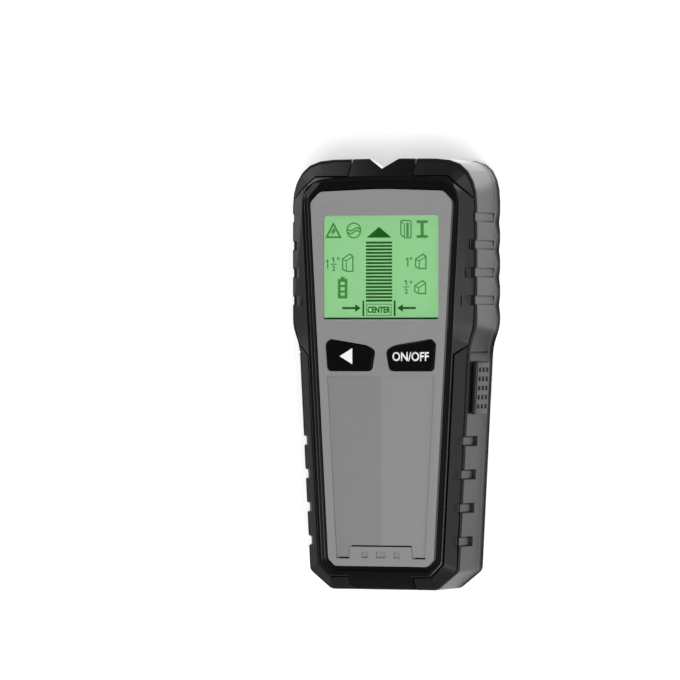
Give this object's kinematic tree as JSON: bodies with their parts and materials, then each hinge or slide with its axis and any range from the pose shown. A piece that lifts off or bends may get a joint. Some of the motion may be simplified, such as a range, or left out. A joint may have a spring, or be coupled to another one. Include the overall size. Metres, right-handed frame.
{
  "type": "stud finder",
  "caption": "Handheld stud finder with a backlit display, two push keys, a side slide switch, soft grips and a hinged battery door in its back.",
  "frame": {"origin": "centre of the footprint, on the flat back", "axes": "+Z out of the face, +Y towards the top end with the marking notch, +X to the right side with the slide switch"},
  "size_m": [0.0718, 0.1555, 0.028],
  "materials": {
    "shell": "black moulded plastic, fine satin grain",
    "grip": "dark grey soft moulded skin, matt",
    "plate": "mid grey moulded plastic, fine grain",
    "key": null,
    "pane": "clear plastic pane",
    "display": "lit green liquid crystal display with dark segments",
    "white_moulding": "white moulded plastic",
    "board": "green circuit board",
    "component": "black moulded component",
    "plated_metal": "plated steel",
    "battery_case": "plain battery jacket, satin",
    "red_lead": "red insulation"
  },
  "bodies": {
    "housing": {"front_shell": "shell", "back_cover": "shell", "right_grip": "grip", "left_grip": "grip", "face_plate": "plate", "display_lens": "pane", "lcd_panel": "display", "backlight": "white_moulding", "lcd_frame": "white_moulding", "main_board": "board", "sensor_board": "board", "board_link": "component", "processor": "component", "buzzer": "component", "battery": "battery_case", "battery_snap": "component", "battery_lead_black": "component", "battery_lead_red": "red_lead", "arrow_switch": "plated_metal", "power_switch": "plated_metal", "mode_switch": "plated_metal", "case_screw_1": "plated_metal", "case_screw_2": "plated_metal", "case_screw_3": "plated_metal", "case_screw_4": "plated_metal", "board_screw_1": "plated_metal", "board_screw_2": "plated_metal", "board_screw_3": "plated_metal"},
    "power_key": {"power_button": "key", "power_switch_stem": "component"},
    "arrow_key": {"arrow_button": "key", "arrow_switch_stem": "component"},
    "slide": {"mode_slider": "grip", "mode_switch_lever": "white_moulding"},
    "door": {"battery_door": "shell"}
  },
  "joints": [
    {"name": "power_key_press", "type": "slide", "parent": "housing", "child": "power_key", "axis": [0, 0, -1], "range_m": [0, 0.0005], "stiffness_N_per_m": 3000},
    {"name": "arrow_key_press", "type": "slide", "parent": "housing", "child": "arrow_key", "axis": [0, 0, -1], "range_m": [0, 0.0005], "stiffness_N_per_m": 3000},
    {"name": "mode_slide", "type": "slide", "parent": "housing", "child": "slide", "axis": [0.0518, 0.9987, 0], "range_m": [0, 0.0034]},
    {"name": "battery_door_hinge", "type": "hinge", "parent": "housing", "child": "door", "pos_m": [0, -0.07, 0.0012], "axis": [-1, 0, 0], "range_deg": [0, 80]}
  ]
}
